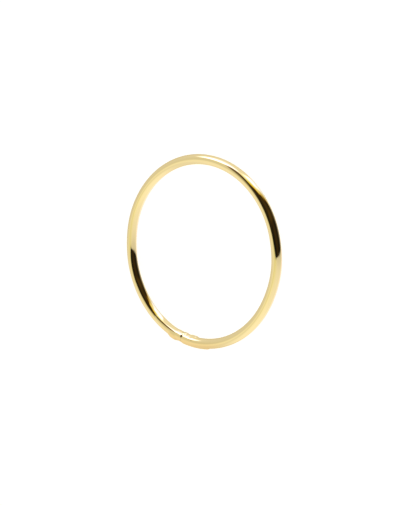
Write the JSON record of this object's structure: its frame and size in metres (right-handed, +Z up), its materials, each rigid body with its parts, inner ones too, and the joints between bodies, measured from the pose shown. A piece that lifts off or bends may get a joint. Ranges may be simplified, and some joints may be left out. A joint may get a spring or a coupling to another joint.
{
  "type": "finger ring",
  "caption": "Slim plain finger ring of polished gold-coloured round wire, closed by one small soldered joint; worn alone or stacked.",
  "frame": {"origin": "middle of the finger hole, on the surface that the ring lies on", "axes": "+Z up, along the finger's axis; -Y from the middle of the hole towards the soldered joint; +X completes the right-handed frame"},
  "size_m": [0.019, 0.0191, 0.001],
  "materials": {
    "polished_gold": "mirror-polished pale yellow gold, slightly tarnished in the pit of the soldered joint"
  },
  "bodies": {
    "root": {"band": "polished_gold"}
  },
  "joints": []
}
